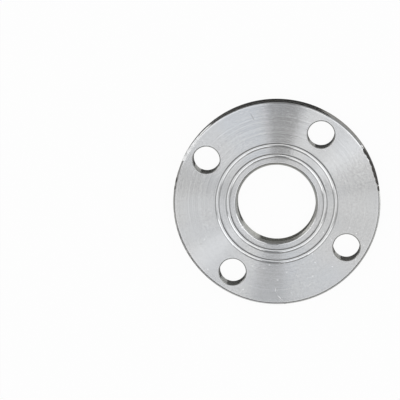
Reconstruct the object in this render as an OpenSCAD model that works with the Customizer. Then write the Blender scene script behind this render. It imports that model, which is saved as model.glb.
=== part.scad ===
// Slip-on plate flange with a flat sealing face and round-bottomed sealing grooves.
// One solid, turned from plate and drilled. All sizes are in millimetres.
// The back face lies on z = 0 and the sealing face looks along +Z. The pipe bore is
// on the Z axis, and the bolt holes straddle the X and Y axes.

/* [Plate] */
// Thickness from the back face to the sealing face
plate_t = 10; // [6:0.5:24]
// Edge break on both corners of the rim, at 45 degrees
rim_chamfer = 0.9; // [0.2:0.1:2]

/* [Pipe bore] */
// Diameter of the bore that slips over the pipe
bore_d = 42.5; // [26:0.1:47]
// Chamfer of the bore's mouth in the sealing face, at 45 degrees
bore_chamfer = 1.2; // [0.3:0.1:2]
// Chamfer of the bore's mouth in the back face, at 45 degrees
bore_back_chamfer = 0.6; // [0.3:0.1:2]

/* [Bolt holes] */
// Number of bolt holes
bolt_count = 4; // [4:1:8]
// Diameter of the circle that the hole centres lie on
bolt_circle_d = 90; // [84:0.5:120]
// Diameter of each bolt hole
bolt_hole_d = 14.5; // [9:0.5:17]
// Edge break of both mouths of a bolt hole, at 45 degrees
bolt_hole_chamfer = 0.5; // [0.2:0.1:1.2]
// Wall of metal between a bolt hole and the rim
rim_wall = 4; // [3:0.1:12]

/* [Sealing grooves] */
// Number of grooves around the bore
groove_count = 2; // [1:1:2]
// Flat land between the bore's mouth and the first groove
groove_land = 2.7; // [1:0.1:5]
// Radial step from one groove's middle to the next
groove_pitch = 5.8; // [3.5:0.1:8]
// Width of a groove at the sealing face
groove_w = 2.6; // [1.2:0.1:3.2]
// Depth of a groove below the sealing face
groove_depth = 0.5; // [0.2:0.05:1.2]

/* [Hidden] */
$fn = 128;

bore_r = bore_d / 2;
bolt_hole_r = bolt_hole_d / 2;
bolt_circle_r = bolt_circle_d / 2;

// Outside radius of the plate: the rim clears the bolt holes by its wall
plate_r = bolt_circle_r + bolt_hole_r + rim_wall;

// Radius of the round-nosed tool that cuts a groove of that width and depth
groove_nose_r = (pow(groove_w / 2, 2) + pow(groove_depth, 2)) / (2 * groove_depth);
// Radius from the bore's axis to the middle of the first groove
groove_first_r = bore_r + bore_chamfer + groove_land + groove_w / 2;

// How far each cutting shape runs past the face that it cuts
cut_over = plate_t / 10;

// Half section of the turned blank: a plate with its rim and bore mouths chamfered
module blank_section() {
    polygon([
        [bore_r + bore_back_chamfer, 0],
        [plate_r - rim_chamfer, 0],
        [plate_r, rim_chamfer],
        [plate_r, plate_t - rim_chamfer],
        [plate_r - rim_chamfer, plate_t],
        [bore_r + bore_chamfer, plate_t],
        [bore_r, plate_t - bore_chamfer],
        [bore_r, bore_back_chamfer]
    ]);
}

// The nose of the grooving tool at each groove, in the plane of the half section
module groove_sections() {
    for (i = [0 : groove_count - 1])
        translate([groove_first_r + i * groove_pitch, plate_t - groove_depth + groove_nose_r])
            circle(r = groove_nose_r);
}

// The turned ring, before drilling
module turned_ring() {
    rotate_extrude()
        difference() {
            blank_section();
            groove_sections();
        }
}

// One countersunk mouth of a bolt hole: opens upwards from the hole to past the face at z = 0
module hole_mouth() {
    translate([0, 0, -bolt_hole_chamfer])
        cylinder(
            h = bolt_hole_chamfer + cut_over,
            r1 = bolt_hole_r,
            r2 = bolt_hole_r + bolt_hole_chamfer + cut_over
        );
}

// A drilled bolt hole, upright on the origin, with both mouths deburred
module bolt_hole() {
    translate([0, 0, -cut_over])
        cylinder(h = plate_t + 2 * cut_over, r = bolt_hole_r);
    translate([0, 0, plate_t])
        hole_mouth();
    mirror([0, 0, 1])
        hole_mouth();
}

module flange() {
    color("silver")
        difference() {
            turned_ring();
            for (i = [0 : bolt_count - 1])
                rotate([0, 0, (i + 0.5) * 360 / bolt_count])
                    translate([bolt_circle_r, 0, 0])
                        bolt_hole();
        }
}

flange();
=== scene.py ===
# %% [markdown]
# # A turned steel slip-on flange
# The flange is one ring of bare steel. A lathe faces it, breaks its edges, bores it for
# the pipe and cuts two round-bottomed grooves around the bore, and a drill makes the bolt
# holes. This lesson makes it in the same order: draw the section, turn it, drill it, knock
# its edges about, and then give each cut the finish that its tool leaves.

import math

import bmesh
import bpy
from mathutils import Matrix, Vector


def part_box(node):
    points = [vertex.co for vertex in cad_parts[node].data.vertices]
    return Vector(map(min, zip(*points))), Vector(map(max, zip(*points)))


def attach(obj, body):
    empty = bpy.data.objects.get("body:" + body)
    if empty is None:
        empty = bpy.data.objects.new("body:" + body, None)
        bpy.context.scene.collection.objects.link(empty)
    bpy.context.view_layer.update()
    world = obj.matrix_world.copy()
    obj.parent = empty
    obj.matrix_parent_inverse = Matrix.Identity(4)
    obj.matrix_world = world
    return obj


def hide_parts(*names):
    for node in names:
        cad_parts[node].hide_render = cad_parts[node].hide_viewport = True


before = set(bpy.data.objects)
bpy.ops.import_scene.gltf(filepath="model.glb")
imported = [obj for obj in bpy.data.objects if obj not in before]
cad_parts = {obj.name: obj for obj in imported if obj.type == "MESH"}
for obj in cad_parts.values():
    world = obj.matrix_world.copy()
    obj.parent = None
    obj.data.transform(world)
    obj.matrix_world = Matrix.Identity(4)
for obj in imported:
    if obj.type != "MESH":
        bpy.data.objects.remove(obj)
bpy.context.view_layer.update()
MM = 0.001

plate_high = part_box("flange")[1]
plate_r = plate_high.x / MM
plate_t = plate_high.z / MM
print(f"plate {2 * plate_r:.1f} mm across and {plate_t:.1f} mm thick")

# %% [markdown]
# ## The camera
# The ring lies on its back, so the camera looks down on it. A picture of a round plate says
# where its camera stood: the circles are a little flat, the rim shows on one side, and the
# bolt holes give the turn. It is easiest to place the ring in front of the lens first, and
# then to turn that placing round, which gives the camera's place above the ring.

# %% Camera
PICTURE = 400
# In pixels of the picture: the lens's length, the radius of the face, and the face's middle
lens_px, face_px = 2200.0, 103.6
face_at = (276.5, 203.72)
roll, lean, swing = math.radians(12.5), math.radians(10.9), math.radians(-3.2)

distance = lens_px / face_px * plate_r * MM
right = (face_at[0] - PICTURE / 2) / lens_px * distance
down = (face_at[1] - PICTURE / 2) / lens_px * distance
ring_before_lens = (
    Matrix.Translation((right, -down, -distance))
    @ Matrix.Rotation(swing, 4, "Y")
    @ Matrix.Rotation(lean, 4, "X")
    @ Matrix.Rotation(roll, 4, "Z")
    @ Matrix.Translation((0, 0, -plate_t * MM))
)

scene = bpy.context.scene
lens = bpy.data.cameras.new("lens")
lens.sensor_width = 36.0
lens.lens = lens_px / PICTURE * lens.sensor_width
camera = bpy.data.objects.new("camera", lens)
scene.collection.objects.link(camera)
camera.matrix_world = ring_before_lens.inverted()
scene.camera = camera
print(f"{lens.lens:.0f} mm lens, {distance:.2f} m from the face, at {camera.location[:]}")

# %% [markdown]
# ## The light tent
# Bare metal shows its surroundings, so the studio is half of its look. Shiny goods are
# photographed inside a tent of lit cloth, in a room that is left dim. The cloth comes in a
# few brightnesses, and it glows by itself, so no lamps are needed. A black flag is cloth that
# hardly glows. It is hung where the metal should show a dark line.

# %% Room and cloth
scene.view_settings.view_transform = "Standard"
world = bpy.data.worlds.new("dim room")
world.use_nodes = True
room = world.node_tree.nodes["Background"]
room.inputs["Color"].default_value = (1.0, 1.0, 1.0, 1.0)
room.inputs["Strength"].default_value = 0.17
scene.world = world


def glow(name, strength, tint=(1.0, 1.0, 1.0)):
    """Lit tent cloth of an even brightness and tint."""
    cloth = bpy.data.materials.new(name)
    cloth.use_nodes = True
    cloth.node_tree.nodes.clear()
    light = cloth.node_tree.nodes.new("ShaderNodeEmission")
    light.inputs["Strength"].default_value = strength
    light.inputs["Color"].default_value = (*tint, 1.0)
    out = cloth.node_tree.nodes.new("ShaderNodeOutputMaterial")
    cloth.node_tree.links.new(light.outputs[0], out.inputs["Surface"])
    return cloth


PLAIN, FAIR, BRIGHT, DIM, COOL, STRIP, HALF, BLACK = range(8)
cloths = (
    glow("plain cloth", 0.98),
    glow("fair cloth", 1.1),
    glow("bright cloth", 1.25),
    glow("dim cloth", 0.64),
    glow("cool cloth", 0.95, (0.93, 0.99, 1.08)),
    glow("bright strip", 1.6),
    glow("half-lit cloth", 0.45),
    glow("black flag", 0.02),
)
print([cloth.name for cloth in cloths])

# %% [markdown]
# The tent is a dome of narrow gores around the direction that the flat face mirrors to the
# lens. A place on it is given by its tilt away from that direction and by its gore, counted
# round from the picture's right. A turned face is a fan of fine rings, and each part of the
# fan shows the gores in its own direction, near the middle of the dome. So a slit between two
# gores becomes a dark wedge that points at the bore, and bright, dim and cool gores become
# wedges of those tones. Steeper metal looks further out. The walls of the grooves show the
# strips and flags beyond the middle, and the broken edges show the hem of the tent. Each
# ring of cloth can thus be set for one kind of surface.

# %% Plan the tent
# Tilts in degrees where one ring of cloth ends and the next begins
strip_tilt, cover_tilt, skirt_tilt, edge_tilt, floor_tilt = 18, 36, 54, 84, 104
# The slit is veiled past the first tilt, and the bright part of the skirt starts at the second
veil_tilt, bright_tilt = 24, 76
# How much sooner the cover ends on the low side, and how much sooner again it ends and the
# skirt starts in the low corner
low_gap, corner_gap = 5, 6
# The slit's gore, half its angle, and how far past the middle of the dome its point lies
slit_gore, slit_half, slit_past = 86.7, 9.6, 1.0

cover_pattern = (
    (BRIGHT, ((32, 45), (60, 73), (211, 224))),
    (FAIR, ((186, 206), (330, 358))),
    (DIM, ((8, 26), (150, 176))),
    (COOL, ((100, 128),)),
)
strip_gores, wide_strip_gores = ((14, 160),), ((12, 44),)
wing_gores, side_gores = ((24, 56), (124, 166)), ((0, 20), (166, 200), (335, 360))
low_gores, corner_gores = ((200, 322),), ((206, 238),)
bright_skirt_gores, black_gores = ((138, 160),), ((58, 138),)
edge_gores = ((0, 10), (138, 160), (325, 360))


def within(angle, spans):
    """Whether an angle lies in one of the spans."""
    return any(low < angle < high for low, high in spans)


def in_slit(tilt, gore):
    """Whether a place lies in the slit, which widens from its point."""
    off = math.radians(gore - slit_gore)
    from_point = tilt * math.cos(off) + slit_past
    half_width = from_point * math.tan(math.radians(slit_half))
    return from_point > 0 and abs(tilt * math.sin(off)) < half_width


def cloth_at(tilt, gore):
    """Which cloth hangs that far from the mirrored direction, in that gore, if any."""
    low, corner = within(gore, low_gores), within(gore, corner_gores)
    slit = in_slit(tilt, gore)
    if strip_tilt < tilt < cover_tilt and within(gore, strip_gores):
        if slit:
            return HALF if tilt > veil_tilt else None
        return STRIP
    if cover_tilt < tilt < skirt_tilt and within(gore, wide_strip_gores):
        return STRIP
    if slit and tilt < skirt_tilt:
        return None
    if tilt < cover_tilt - low_gap * low - corner_gap * corner:
        return next((cloth for cloth, gores in cover_pattern if within(gore, gores)), PLAIN)
    if skirt_tilt - corner_gap * corner < tilt < edge_tilt:
        return STRIP if tilt > bright_tilt and within(gore, bright_skirt_gores) else HALF
    if tilt < skirt_tilt and within(gore, wing_gores):
        return PLAIN
    if tilt < skirt_tilt and low:
        return BLACK
    if edge_tilt < tilt < floor_tilt and within(gore, edge_gores):
        return STRIP
    if edge_tilt < tilt and within(gore, black_gores):
        return BLACK
    return HALF if tilt < floor_tilt and within(gore, side_gores + wing_gores) else None


slit_width = sum(in_slit(strip_tilt, gore) for gore in range(360))
print("where the strips start, the slit takes up", slit_width, "of 360 degrees")

# %% [markdown]
# The dome starts as a plain sphere whose pole is the mirrored direction. Each of its faces
# takes its cloth, and where none hangs the face is deleted. Then the sphere is turned into
# place and cut off just above the floor.

# %% Hang the tent
GORES, BANDS = 180, 90
tent_r, tent_foot = 3.0, 0.02
tent = bmesh.new()
bmesh.ops.create_uvsphere(tent, u_segments=GORES, v_segments=BANDS, radius=tent_r)
bare = []
for face in tent.faces:
    middle = face.calc_center_median()
    tilt = math.degrees(middle.angle(Vector((0, 0, 1))))
    cloth = cloth_at(tilt, math.degrees(math.atan2(middle.y, middle.x)) % 360)
    if cloth is None:
        bare.append(face)
    else:
        face.material_index = cloth
bmesh.ops.delete(tent, geom=bare, context="FACES")

to_lens = (camera.location - Vector((0, 0, plate_t * MM))).normalized()
mirrored = Vector((-to_lens.x, -to_lens.y, to_lens.z))
across = camera.matrix_world.to_3x3() @ Vector((1, 0, 0))
across = (across - across.dot(mirrored) * mirrored).normalized()
along = mirrored.cross(across)
stand = Matrix((across, along, mirrored)).transposed().to_4x4()
bmesh.ops.transform(tent, matrix=stand, verts=tent.verts[:])
whole = tent.verts[:] + tent.edges[:] + tent.faces[:]
bmesh.ops.bisect_plane(
    tent, geom=whole, plane_co=(0, 0, tent_foot), plane_no=(0, 0, 1), clear_inner=True
)
tent_mesh = bpy.data.meshes.new("light_tent")
tent.to_mesh(tent_mesh)
print(len(tent.faces), "lit patches in the tent")
tent.free()
for cloth in cloths:
    tent_mesh.materials.append(cloth)
light_tent = bpy.data.objects.new("light_tent", tent_mesh)
scene.collection.objects.link(light_tent)

# %% [markdown]
# ## The floor
# The floor is plain white paper. Part of it is lit by the tent, which keeps the ring's own
# shade, and part is a steady white for the lens and for the metal that mirrors it. Seen from
# very low the white fades, as paper does when it runs off into a dim room. A few small
# helpers keep the node trees short from here on.

# %% Helpers for node trees
def node(tree, kind, **values):
    """A shader node of that kind, with its settings and its input values."""
    made = tree.nodes.new(kind)
    for key, value in values.items():
        if hasattr(made, key):
            setattr(made, key, value)
        else:
            made.inputs[key.replace("_", " ")].default_value = value
    return made


def feed(tree, socket, term):
    """Gives an input a number, or links another node's output to it."""
    if isinstance(term, bpy.types.NodeSocket):
        tree.links.new(term, socket)
    else:
        socket.default_value = term


def reckon(tree, operation, *terms):
    """A Math node whose terms are numbers or other nodes' outputs."""
    made = node(tree, "ShaderNodeMath", operation=operation)
    for socket, term in zip(made.inputs, terms):
        feed(tree, socket, term)
    return made.outputs["Value"]


def stretch(tree, value, low, high, to_low=0.0, to_high=1.0):
    """Smoothly turns the span from low to high into another one, and stops at its ends."""
    made = node(tree, "ShaderNodeMapRange", interpolation_type="SMOOTHSTEP")
    spans = {"Value": value, "From Min": low, "From Max": high, "To Min": to_low, "To Max": to_high}
    for label, term in spans.items():
        feed(tree, made.inputs[label], term)
    return made.outputs["Result"]


# %% Floor
steady_share = 0.96
fade_starts, fade_ends, faded = 0.86, 1.0, 0.4
paper = bpy.data.materials.new("white paper")
paper.use_nodes = True
tree = paper.node_tree
tree.nodes.clear()
lit = node(tree, "ShaderNodeBsdfDiffuse", Color=(0.95, 0.95, 0.95, 1))
white = node(tree, "ShaderNodeEmission", Strength=1.0)
low_view = node(tree, "ShaderNodeLayerWeight", Blend=0.5)
fade = stretch(tree, low_view.outputs["Facing"], fade_starts, fade_ends, 1.0, faded)
tree.links.new(fade, white.inputs["Color"])
ray = node(tree, "ShaderNodeLightPath")
seen = reckon(tree, "MAXIMUM", ray.outputs["Is Camera Ray"], ray.outputs["Is Glossy Ray"])
seen = reckon(tree, "MAXIMUM", seen, ray.outputs["Is Transmission Ray"])
both = node(tree, "ShaderNodeMixShader")
tree.links.new(reckon(tree, "MULTIPLY", seen, steady_share), both.inputs["Fac"])
tree.links.new(lit.outputs[0], both.inputs[1])
tree.links.new(white.outputs[0], both.inputs[2])
tree.links.new(both.outputs[0], node(tree, "ShaderNodeOutputMaterial").inputs["Surface"])

floor_half = 20.0
sheet = bmesh.new()
bmesh.ops.create_grid(sheet, x_segments=1, y_segments=1, size=floor_half)
floor_mesh = bpy.data.meshes.new("floor")
sheet.to_mesh(floor_mesh)
sheet.free()
floor_mesh.materials.append(paper)
floor = bpy.data.objects.new("floor", floor_mesh)
scene.collection.objects.link(floor)
print("white paper floor", floor.dimensions[:])

# %% [markdown]
# ## The section
# Every turned surface of the ring is in its half section, so that is drawn first, as a
# closed line of corners in the XZ plane. The grooves come from a round-nosed tool: one
# vertex is spun about the middle of the nose, which leaves the arc. The corners then get a
# small round, because a file or a cloth takes the sharpness off every turned edge. The two
# corners where the front face meets the rim and the bore are handled most, so they are worn
# rounder than the rest.

# %% Draw the half section
rim_chamfer = 0.9
bore_r, bore_chamfer, bore_back_chamfer = 21.25, 1.2, 0.6
groove_w, groove_depth, groove_land, groove_pitch = 2.6, 0.5, 2.7, 5.8
groove_first_r = bore_r + bore_chamfer + groove_land + groove_w / 2
nose_r = (groove_w ** 2 / 4 + groove_depth ** 2) / (2 * groove_depth)
nose_half = math.asin(groove_w / 2 / nose_r)
NOSE_STEPS = 14

section = bmesh.new()
start = section.verts.new((bore_r + bore_back_chamfer, 0, 0))
corners = [start]


def line_to(x, z):
    """Draws a straight line from the last corner of the section to a new one."""
    drawn = bmesh.ops.extrude_vert_indiv(section, verts=[corners[-1]])
    corner = drawn["verts"][0]
    corner.co = (x, 0, z)
    corners.append(corner)
    return corner


def groove_at(middle):
    """Draws a line to a groove's far edge, and the arc of the tool's nose to its near edge."""
    line_to(middle + groove_w / 2, plate_t)
    centre = (middle, 0, plate_t - groove_depth + nose_r)
    arc = bmesh.ops.spin(
        section, geom=[corners[-1]], cent=centre, axis=(0, 1, 0), angle=2 * nose_half, steps=NOSE_STEPS
    )
    corners.extend(item for item in arc["geom_last"] if isinstance(item, bmesh.types.BMVert))


line_to(plate_r - rim_chamfer, 0)
line_to(plate_r, rim_chamfer)
line_to(plate_r, plate_t - rim_chamfer)
rim_front = line_to(plate_r - rim_chamfer, plate_t)
groove_at(groove_first_r + groove_pitch)
groove_at(groove_first_r)
bore_front = line_to(bore_r + bore_chamfer, plate_t)
line_to(bore_r, plate_t - bore_chamfer)
line_to(bore_r, bore_back_chamfer)
section.edges.new((corners[-1], start))
print("corners", [(round(v.co.x, 2), round(v.co.z, 2)) for v in corners])

# %% Round the corners
edge_round, worn_round = 0.06, 0.5
ROUND_STEPS = 3
worn_corners = [rim_front, bore_front]
other_corners = [corner for corner in corners if corner not in worn_corners]
for rounded, offset in ((worn_corners, worn_round), (other_corners, edge_round)):
    bmesh.ops.bevel(
        section, geom=rounded, offset=offset, offset_type="OFFSET", segments=ROUND_STEPS, profile=0.5,
        affect="VERTICES", material=-1,
    )
print(len(section.verts), "points in the half section")

# %% [markdown]
# ## Turning
# A full spin of the section about the bore's axis is the lathe's own way. The last step
# meets the first, so the spin merges them, and the normals are set outwards afterwards. Each
# ring of faces then learns which tool cut it, so that it can get that tool's finish.

# %% Turn the ring
TURN_STEPS = 360
weld = 0.0005
bmesh.ops.spin(
    section, geom=section.verts[:] + section.edges[:], cent=(0, 0, 0), axis=(0, 0, 1),
    angle=2 * math.pi, steps=TURN_STEPS, use_merge=True,
)
bmesh.ops.remove_doubles(section, verts=section.verts[:], dist=weld)
bmesh.ops.recalc_face_normals(section, faces=section.faces[:])

FACED, LAND, EDGE, RIM, BORED, GROOVED, DRILLED, MOUTH, CHIP, SHADED_DINT = range(10)
hair = 0.02


def finish_at(r, z):
    """The finish of the turned surface that far from the axis and that high."""
    if r < bore_r + hair:
        return BORED
    if r > plate_r - hair:
        return RIM
    if r < bore_r + bore_chamfer + hair:
        return MOUTH
    if r > plate_r - rim_chamfer - hair:
        return EDGE
    if hair < z < plate_t - hair:
        return GROOVED
    return LAND if r < groove_first_r and z > hair else FACED


for face in section.faces:
    middle = face.calc_center_median()
    face.material_index = finish_at(math.hypot(middle.x, middle.y), middle.z)
bmesh.ops.scale(section, vec=(MM, MM, MM), verts=section.verts[:])
print(len(section.faces), "faces on the turned ring, volume", round(section.calc_volume() / MM ** 3), "mm3")


def keep(bm, name):
    """Makes an object of a finished bmesh, with a place for each finish."""
    mesh = bpy.data.meshes.new(name)
    bm.to_mesh(mesh)
    bm.free()
    for finish in range(SHADED_DINT + 1):
        mesh.materials.append(None)
    piece = bpy.data.objects.new(name, mesh)
    scene.collection.objects.link(piece)
    return piece


ring = keep(section, "turned_flange")

# %% [markdown]
# ## Drilling
# The bolt holes cross the turned rings, so they are drilled as on the real part: a drill
# with its countersinks is made as one turned shape, set on the bolt circle at each place, and
# taken out of the ring with a Boolean.

# %% Shape the drill
bolt_circle_r, bolt_hole_r, bolt_hole_chamfer, bolt_count = 45.0, 7.25, 0.5, 4
past = 1.0
mouth_r = bolt_hole_r + bolt_hole_chamfer + past
DRILL_STEPS = 96
drill = bmesh.new()
half = [
    drill.verts.new((x, 0, z)) for x, z in (
        (0, -past), (mouth_r, -past), (bolt_hole_r, bolt_hole_chamfer),
        (bolt_hole_r, plate_t - bolt_hole_chamfer), (mouth_r, plate_t + past), (0, plate_t + past),
    )
]
for a, b in zip(half, half[1:]):
    drill.edges.new((a, b))
bmesh.ops.bevel(
    drill, geom=half[2:4], offset=edge_round, offset_type="OFFSET", segments=ROUND_STEPS, profile=0.5,
    affect="VERTICES", material=-1,
)
bmesh.ops.spin(
    drill, geom=drill.verts[:] + drill.edges[:], cent=(0, 0, 0), axis=(0, 0, 1),
    angle=2 * math.pi, steps=DRILL_STEPS, use_merge=True,
)
bmesh.ops.remove_doubles(drill, verts=drill.verts[:], dist=weld)
bmesh.ops.recalc_face_normals(drill, faces=drill.faces[:])
print(len(drill.faces), "faces on the drill")

# %% Drill the bolt holes
step = 2 * math.pi / bolt_count
# A face of the drill whose normal rises more than this belongs to a countersink
countersunk = 0.5
bmesh.ops.translate(drill, vec=(bolt_circle_r, 0, 0), verts=drill.verts[:])
bmesh.ops.rotate(drill, cent=(0, 0, 0), matrix=Matrix.Rotation(step / 2, 3, "Z"), verts=drill.verts[:])
one = drill.verts[:] + drill.edges[:] + drill.faces[:]
for hole in range(1, bolt_count):
    copy = bmesh.ops.duplicate(drill, geom=one)
    copied = [item for item in copy["geom"] if isinstance(item, bmesh.types.BMVert)]
    bmesh.ops.rotate(drill, cent=(0, 0, 0), matrix=Matrix.Rotation(hole * step, 3, "Z"), verts=copied)
bmesh.ops.scale(drill, vec=(MM, MM, MM), verts=drill.verts[:])
for face in drill.faces:
    face.material_index = MOUTH if abs(face.normal.z) > countersunk else DRILLED


def settle(piece):
    """Makes a piece's modifiers part of its mesh."""
    bpy.context.view_layer.update()
    seen_piece = piece.evaluated_get(bpy.context.evaluated_depsgraph_get())
    done = bpy.data.meshes.new_from_object(seen_piece)
    done.name = piece.name
    piece.modifiers.clear()
    piece.data = done


def cut_from(piece, tool, overlaps=False):
    """Takes a tool's shape, which may overlap itself, out of a piece, and puts the tool away."""
    cut = piece.modifiers.new(tool.name, "BOOLEAN")
    cut.operation = "DIFFERENCE"
    cut.solver = "EXACT"
    cut.use_self = overlaps
    cut.object = tool
    settle(piece)
    bpy.data.objects.remove(tool)
    print(piece.name, "now has", len(piece.data.polygons), "faces")


cut_from(ring, keep(drill, "drill"))

# %% [markdown]
# ## Knocks on the edges
# A flange is rolled and dropped on its rim, so its front edge is knocked about. The dints get a very dark
# finish, which is painted shade, and the chips a very bright one, which is fresh metal with a painted
# highlight on top. Along part of the outer corner the dints run into each other, and that run is painted
# dark as shade too. The bore's mouth has a few small chips too, whose bright finish gives painted glints.
# Each knock is a shallow scoop, and a ball leaves exactly that. Its radius follows from the length of the
# nick along the edge and its depth, and only metal is taken away. The balls overlap, so the Boolean is told
# to expect it.

# %% List the knocks
# The turn round the ring in degrees, the length and depth in millimetres, and the finish
nicks = (
    (21.4, 2.4, 0.50, CHIP), (18.0, 5.0, 0.42, SHADED_DINT), (15.0, 4.5, 0.28, SHADED_DINT), (11.0, 5.5, 0.30, SHADED_DINT),
    (7.0, 6.0, 0.46, SHADED_DINT), (4.0, 6.0, 0.50, SHADED_DINT), (0.5, 5.0, 0.36, SHADED_DINT), (-4.0, 3.0, 0.22, SHADED_DINT),
    (127.5, 5.0, 0.46, CHIP), (131.0, 6.0, 0.50, CHIP), (135.0, 6.5, 0.46, CHIP), (139.5, 6.0, 0.40, CHIP),
    (154.0, 5.0, 0.14, SHADED_DINT), (158.5, 4.0, 0.10, SHADED_DINT), (262.0, 1.5, 0.20, EDGE),
)
# A run of overlapping dints along the outer corner, whose dark finish is painted shade
shaded_dint_run = (
    (172.5, 1.2, 0.10), (175.0, 2.2, 0.14), (178.5, 4.0, 0.18), (182.5, 5.0, 0.26), (186.5, 6.0, 0.32),
    (190.5, 5.0, 0.30), (194.0, 4.0, 0.24), (198.0, 6.0, 0.28), (202.0, 5.0, 0.32), (206.5, 6.0, 0.30),
    (210.5, 4.5, 0.26), (214.0, 4.0, 0.30), (218.0, 6.0, 0.28), (222.0, 4.5, 0.24), (225.5, 3.5, 0.18),
    (228.5, 2.2, 0.14), (231.0, 1.2, 0.10),
)
# Chips on the bore's mouth, whose bright finish gives painted glints
mouth_nicks = ((202.6, 2.8, 0.25), (209.0, 1.8, 0.14), (312.0, 2.0, 0.20))
print(len(nicks + shaded_dint_run + mouth_nicks), "knocks")

# %% Knock the edges about
rim_edge = Vector((plate_r - rim_chamfer / 2, 0, plate_t - rim_chamfer / 2))
rim_corner = Vector((plate_r, 0, plate_t - rim_chamfer))
mouth_edge = Vector((bore_r + bore_chamfer, 0, plate_t))
from_edge, from_corner, from_mouth = Vector((1, 0, 1)), Vector((1, 0, 0.41)), Vector((-1, 0, 4))
knocks = bmesh.new()


def give_finish(ball, finish):
    """Gives one finish to the faces of a ball."""
    for face in {face for vert in ball["verts"] for face in vert.link_faces}:
        face.material_index = finish


def knock(edge, outward, turn, length, depth, finish):
    """Sets a ball over an edge so that it takes out a nick of that length and depth."""
    ball_r = (length ** 2 / 4 + depth ** 2) / (2 * depth)
    middle = edge + outward.normalized() * (ball_r - depth)
    ball = bmesh.ops.create_icosphere(
        knocks, subdivisions=4, radius=ball_r, matrix=Matrix.Translation(middle)
    )
    give_finish(ball, finish)
    spot = Matrix.Rotation(math.radians(turn), 3, "Z")
    bmesh.ops.rotate(knocks, cent=(0, 0, 0), matrix=spot, verts=ball["verts"])


for nick in nicks:
    knock(rim_edge, from_edge, *nick)
for nick in shaded_dint_run:
    knock(rim_corner, from_corner, *nick, SHADED_DINT)
for nick in mouth_nicks:
    knock(mouth_edge, from_mouth, *nick, CHIP)
bmesh.ops.scale(knocks, vec=(MM, MM, MM), verts=knocks.verts[:])
cut_from(ring, keep(knocks, "knocks"), overlaps=True)

# %% [markdown]
# ## Scratches on the face
# A few scratches show on the sealing face, most of them bright and one dull. The bright ones take the chip
# finish, which is partly a painted highlight. Each is the track of a point that bites, runs and lifts, so
# it is cut with a ball that is drawn out along the track and is very shallow.

# %% Scratch the face
# Where each scratch starts and ends on the face, its width, and its finish
scratches = (
    ((-10.83, -45.54), (-11.30, -47.69), 0.34, CHIP), ((-10.54, -50.10), (-8.48, -53.43), 0.34, CHIP),
    ((-24.2, 38.4), (-21.8, 37.2), 0.22, CHIP), ((6.0, -49.0), (8.4, -47.5), 0.22, CHIP),
    ((2.0, -40.6), (2.6, -43.0), 0.2, CHIP), ((-2.8, 51.7), (-1.5, 46.8), 0.2, RIM),
)
scratch_depth = 0.05
points = bmesh.new()
for start_at, end_at, width, finish in scratches:
    run = Vector(end_at) - Vector(start_at)
    middle = (Vector(start_at) + Vector(end_at)) / 2
    drawn_out = (
        Matrix.Translation((middle.x, middle.y, plate_t))
        @ Matrix.Rotation(math.atan2(run.y, run.x), 4, "Z")
        @ Matrix.Diagonal((run.length / 2, width / 2, scratch_depth, 1))
    )
    point = bmesh.ops.create_icosphere(points, subdivisions=3, radius=1.0, matrix=drawn_out)
    give_finish(point, finish)
bmesh.ops.scale(points, vec=(MM, MM, MM), verts=points.verts[:])
cut_from(ring, keep(points, "scratching points"))

# %% [markdown]
# ## Smooth curves and flat flats
# The ring is made of small flat faces, and smooth shading hides them. Left alone it would
# also bend the light on the flat face near each hole, so the corners stay sharp, and the
# Weighted Normal modifier lets the large flat faces decide.

# %% Smooth the curves and keep the flats flat
crease = math.radians(28)
ring.data.polygons.foreach_set("use_smooth", [True] * len(ring.data.polygons))
ring.data.set_sharp_from_angle(angle=crease)
flats = ring.modifiers.new("flats stay flat", "WEIGHTED_NORMAL")
flats.keep_sharp = True
flats.weight = 100
settle(ring)
probe = bmesh.new()
probe.from_mesh(ring.data)
open_edges = sum(1 for edge in probe.edges if not edge.is_manifold)
print("volume", round(probe.calc_volume() / MM ** 3), "mm3, open edges", open_edges)
probe.free()

# %% [markdown]
# ## Marks that all of the steel shares
# Three effects are on every cut, so each is a node group, built once and placed in each
# finish with its own values. The first is the tool's own marks: a noise that changes only
# along the tool's path, which is outwards on a face and upwards on a wall. Adding the radius
# and the height gives one measure that follows both. The marks are patchy, and they are
# plainest towards one side, where the face was wiped least. A second, much finer noise is the
# slope of the single threads.

# %% Helpers for node groups
VALUE, VECTOR, COLOUR = "NodeSocketFloat", "NodeSocketVector", "NodeSocketColor"


def effect(name, takes, gives):
    """An empty node group, and the sockets at its two ends."""
    group = bpy.data.node_groups.new(name, "ShaderNodeTree")
    for label, kind in takes:
        group.interface.new_socket(label, in_out="INPUT", socket_type=kind)
    for label, kind in gives:
        group.interface.new_socket(label, in_out="OUTPUT", socket_type=kind)
    return group, node(group, "NodeGroupInput").outputs, node(group, "NodeGroupOutput").inputs


def grain(tree, where, scale, detail=1.0):
    """Noise at a place, or along a line where only a number is given."""
    line = where.type == "VALUE"
    dimensions = "1D" if line else "3D"
    made = node(tree, "ShaderNodeTexNoise", noise_dimensions=dimensions, Scale=scale, Detail=detail)
    tree.links.new(where, made.inputs["W" if line else "Vector"])
    return made.outputs["Fac"]


def vector(tree, operation, *terms):
    """A Vector Math node whose terms are vectors or other nodes' outputs."""
    made = node(tree, "ShaderNodeVectorMath", operation=operation)
    for socket, term in zip([s for s in made.inputs if s.enabled], terms):
        feed(tree, socket, term)
    return next(s for s in made.outputs if s.enabled)


def towards(tree, place, turn):
    """How far a place lies from the bore's axis, measured in one direction."""
    way = (math.cos(math.radians(turn)), math.sin(math.radians(turn)), 0.0)
    return vector(tree, "DOT_PRODUCT", place, way)


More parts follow.
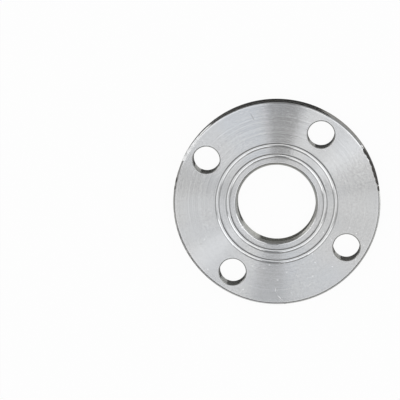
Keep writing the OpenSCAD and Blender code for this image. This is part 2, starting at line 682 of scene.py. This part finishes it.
# %% Turning marks
fine_scale, broad_scale, patch_scale, thread_scale = 1.0, 0.21, 0.09, 8.0
fine_share = 0.75
least_wiped = 108.0
turning, given, gives = effect(
    "turning marks", [("Place", VECTOR), ("Feed", VALUE)], [("Marks", VALUE), ("Threads", VALUE)]
)
in_mm = vector(turning, "SCALE", given["Place"], 1 / MM)
height = node(turning, "ShaderNodeSeparateXYZ")
turning.links.new(in_mm, height.inputs[0])
radius = vector(turning, "LENGTH", vector(turning, "MULTIPLY", in_mm, (1, 1, 0)))
path = reckon(turning, "ADD", radius, height.outputs["Z"])
turns = reckon(turning, "DIVIDE", path, given["Feed"])
fine = grain(turning, turns, fine_scale)
broad = reckon(turning, "MULTIPLY", grain(turning, turns, broad_scale, 2.0), 1 - fine_share)
both_marks = reckon(turning, "MULTIPLY_ADD", fine, fine_share, broad)
patches = grain(turning, in_mm, patch_scale, 2.0)
patchy = stretch(turning, patches, low=0.35, high=0.65, to_low=0.3)
to_that_side = towards(turning, in_mm, least_wiped)
unwiped = stretch(turning, to_that_side, low=-5.0, high=38.0, to_low=0.36)
strength = reckon(turning, "MULTIPLY", patchy, unwiped)
centred = reckon(turning, "SUBTRACT", both_marks, 0.5)
turning.links.new(reckon(turning, "MULTIPLY_ADD", centred, strength, 0.5), gives["Marks"])
turning.links.new(grain(turning, path, thread_scale), gives["Threads"])
print("group:", turning.name, len(turning.nodes), "nodes")

# %% [markdown]
# The second effect is what handling leaves: small bright pits, and a fine uneven bloom where
# the film of oil was wiped. The pits are the middles of some cells of a Voronoi pattern, and
# there are more of them on the side that the ring was set down on. The bloom is a fine noise
# that comes and goes with a coarse one.

# %% Handling marks
pit_scale, speckle_scale, wipe_scale = 0.36, 0.9, 0.07
pit_core, pit_edge = 0.04, 0.14
set_down = 258.0
handling, given, gives = effect("handling marks", [("Place", VECTOR)], [("Pits", VALUE), ("Bloom", VALUE)])
in_mm = vector(handling, "SCALE", given["Place"], 1 / MM)
cells = node(handling, "ShaderNodeTexVoronoi", Scale=pit_scale, Randomness=1.0)
handling.links.new(in_mm, cells.inputs["Vector"])
draw = node(handling, "ShaderNodeSeparateColor")
handling.links.new(cells.outputs["Color"], draw.inputs["Color"])
chosen = stretch(handling, draw.outputs["Red"], low=0.58, high=0.60)
spot = stretch(handling, cells.outputs["Distance"], pit_core, pit_edge, to_low=1.0, to_high=0.0)
to_that_side = towards(handling, in_mm, set_down)
pitted = stretch(handling, to_that_side, low=-10.0, high=35.0, to_low=0.2)
pits = reckon(handling, "MULTIPLY", reckon(handling, "MULTIPLY", chosen, spot), pitted)
handling.links.new(pits, gives["Pits"])
speckle = reckon(handling, "SUBTRACT", grain(handling, in_mm, speckle_scale, 2.0), 0.5)
wiping = grain(handling, in_mm, wipe_scale, 2.0)
wiped = stretch(handling, wiping, low=0.4, high=0.65, to_low=0.35)
handling.links.new(reckon(handling, "MULTIPLY_ADD", speckle, wiped, 0.5), gives["Bloom"])
print("group:", handling.name, len(handling.nodes), "nodes")

# %% [markdown]
# The third is tarnish: the thin oil and oxide film on bare steel, which tints it a little
# blue in one place and a little warm in the next.

# %% Tarnish
cool_film, warm_film = (0.985, 0.995, 1.01, 1), (1.005, 1.0, 0.99, 1)
film_scale = 0.035
tarnish, given, gives = effect("tarnish", [("Place", VECTOR)], [("Film", COLOUR)])
in_mm = vector(tarnish, "SCALE", given["Place"], 1 / MM)
films = node(tarnish, "ShaderNodeMix", data_type="RGBA")
warmth = stretch(tarnish, grain(tarnish, in_mm, film_scale, 2.0), low=0.3, high=0.7)
tarnish.links.new(warmth, films.inputs["Factor"])
for socket in films.inputs:
    if socket.type == "RGBA":
        socket.default_value = cool_film if socket.name == "A" else warm_film
tarnish.links.new(next(s for s in films.outputs if s.type == "RGBA"), gives["Film"])
print("group:", tarnish.name, len(tarnish.nodes), "nodes")

# %% [markdown]
# ## Finishes
# A turned face is not one even grey. The tool leaves rings finer than a hair, and they
# spread a reflection across themselves, so the face shows light and dark wedges that meet
# at the bore. That is anisotropy, with its direction running round the bore. The threads also
# lean the surface in and out. A Bump node loses such fine threads at this size, so the normal
# is bent here by their slope. The walls of bores and rims go dark when they are seen along their length,
# which the shader's edge tint gives. They are rougher on the side that was wire-brushed, and that side is
# also made paler, which is painted light.

# %% Turned steel
pit_light, bloom_light = 0.6, 0.36
bloom_wear, marks_wear = 0.08, 0.06
# The side that the wire-brushed walls face, which is also made paler as painted light from that side
brushed_and_lit_from = math.radians(34.0)
brush_and_light_way = (math.cos(brushed_and_lit_from), math.sin(brushed_and_lit_from), 0.0)
brush_and_light_misses, brush_and_light_meets = 0.935, 0.985


def turned_steel(
    name, tone, roughness, tool_feed, depth=0.3, anisotropy=0.0, glance=1.0, steepness=0.0,
    brushed=None, painted_light_lift=0.0,
):
    """Steel whose tool marks run round the bore; walls facing the wire-brushed side are rougher there, and
    paler as painted light.
    """
    steel = bpy.data.materials.new(name)
    steel.use_nodes = True
    tree = steel.node_tree
    shader = tree.nodes["Principled BSDF"]
    shader.inputs["Metallic"].default_value = 1.0
    shader.inputs["Anisotropic"].default_value = anisotropy
    shader.inputs["Anisotropic Rotation"].default_value = 0.25
    shader.inputs["Specular Tint"].default_value = (glance, glance, glance, 1)
    place = node(tree, "ShaderNodeTexCoord").outputs["Object"]
    around = vector(tree, "NORMALIZE", vector(tree, "CROSS_PRODUCT", (0, 0, 1), place))
    tree.links.new(around, shader.inputs["Tangent"])

    placed = {}
    for group in (turning, handling, tarnish):
        placed[group.name] = node(tree, "ShaderNodeGroup", node_tree=group)
        tree.links.new(place, placed[group.name].inputs["Place"])
    placed["turning marks"].inputs["Feed"].default_value = tool_feed
    marks = placed["turning marks"].outputs["Marks"]
    threads = placed["turning marks"].outputs["Threads"]
    pits = placed["handling marks"].outputs["Pits"]
    bloom = placed["handling marks"].outputs["Bloom"]

    upright = node(tree, "ShaderNodeNewGeometry").outputs["Normal"]
    sideways = vector(tree, "NORMALIZE", vector(tree, "MULTIPLY", upright, (1, 1, 0)))
    brushed_and_lit = stretch(tree, vector(tree, "DOT_PRODUCT", sideways, brush_and_light_way), brush_and_light_misses, brush_and_light_meets)

    light = reckon(tree, "MULTIPLY_ADD", marks, depth, 1 - depth / 2)
    light = reckon(tree, "MULTIPLY_ADD", pits, pit_light, light)
    light = reckon(tree, "SUBTRACT", light, bloom_light / 2)
    light = reckon(tree, "MULTIPLY_ADD", bloom, bloom_light, light)
    # Painted light: walls facing the wire-brushed side are made paler here
    light = reckon(tree, "MULTIPLY", light, reckon(tree, "MULTIPLY_ADD", brushed_and_lit, painted_light_lift, 1.0))
    colour = vector(tree, "MULTIPLY", placed["tarnish"].outputs["Film"], tone)
    tree.links.new(vector(tree, "SCALE", colour, light), shader.inputs["Base Color"])

    roughened = 0.0 if brushed is None else brushed - roughness
    worn = reckon(tree, "MULTIPLY_ADD", bloom, bloom_wear, roughness - (bloom_wear + marks_wear) / 2)
    worn = reckon(tree, "MULTIPLY_ADD", marks, marks_wear, worn)
    tree.links.new(reckon(tree, "MULTIPLY_ADD", brushed_and_lit, roughened, worn), shader.inputs["Roughness"])

    slope = reckon(tree, "MULTIPLY", reckon(tree, "SUBTRACT", threads, 0.5), steepness)
    leaning = vector(tree, "SCALE", vector(tree, "CROSS_PRODUCT", around, upright), slope)
    bent = vector(tree, "NORMALIZE", vector(tree, "ADD", upright, leaning))
    tree.links.new(bent, shader.inputs["Normal"])
    return steel


# %% [markdown]
# Each cut then gets its own values, in the order in which the cuts were numbered. The faced
# steel and the land inside the first groove have the deepest marks and the strongest
# anisotropy. The walls are darker, which is painted shade, and they can be brushed, with the brushed side
# made paler as painted light. The chip steel is the bright metal of a new chip, with its tone raised
# further as a painted highlight, and the dint steel is very dark, which is painted shade.

# %% Give each cut its finish
finishes = (
    turned_steel(
        "faced steel", (0.600, 0.605, 0.612), roughness=0.15, tool_feed=0.8, depth=0.42, anisotropy=1.0,
        steepness=0.5,
    ),
    turned_steel(
        "land steel", (0.600, 0.603, 0.610), roughness=0.25, tool_feed=0.8, depth=0.45, anisotropy=0.9,
        steepness=0.5,
    ),
    turned_steel(
        "edge steel", (0.55, 0.55, 0.54), roughness=0.14, tool_feed=0.6, anisotropy=0.3, glance=0.5
    ),
    # The rim, bored and drilled walls have darker tones than the face, which is painted shade
    turned_steel(
        "rim steel", (0.34, 0.33, 0.31), roughness=0.25, tool_feed=0.6, anisotropy=0.3, glance=0.02,
        brushed=0.7, painted_light_lift=0.5,
    ),
    turned_steel(
        "bored steel", (0.44, 0.44, 0.415), roughness=0.3, tool_feed=0.7, anisotropy=0.3, glance=0.03,
        brushed=0.8, painted_light_lift=0.9,
    ),
    turned_steel(
        "grooved steel", (0.68, 0.685, 0.69), roughness=0.12, tool_feed=0.5, depth=0.1, anisotropy=0.4
    ),
    turned_steel(
        "drilled steel", (0.44, 0.44, 0.43), roughness=0.28, tool_feed=0.5, anisotropy=0.2, glance=0.02,
        brushed=0.8, painted_light_lift=0.7,
    ),
    turned_steel(
        "mouth steel", (0.54, 0.54, 0.52), roughness=0.36, tool_feed=0.5, anisotropy=0.3, glance=0.5,
        brushed=0.6, painted_light_lift=0.5,
    ),
    # Chip steel is fresh metal, with its tone raised further as a painted highlight
    turned_steel("fresh chip steel with painted glint", (0.92, 0.92, 0.92), roughness=0.42, tool_feed=0.5, depth=0.2),
    # Dint steel is very dark, which is painted shade
    turned_steel("dint steel with painted shade", (0.11, 0.105, 0.10), roughness=0.4, tool_feed=0.5, glance=0.1),
)
for index, finish in enumerate(finishes):
    ring.data.materials[index] = finish
print([finish.name for finish in finishes])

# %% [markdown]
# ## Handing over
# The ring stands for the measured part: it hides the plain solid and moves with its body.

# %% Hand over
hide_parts("flange")
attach(ring, "root")
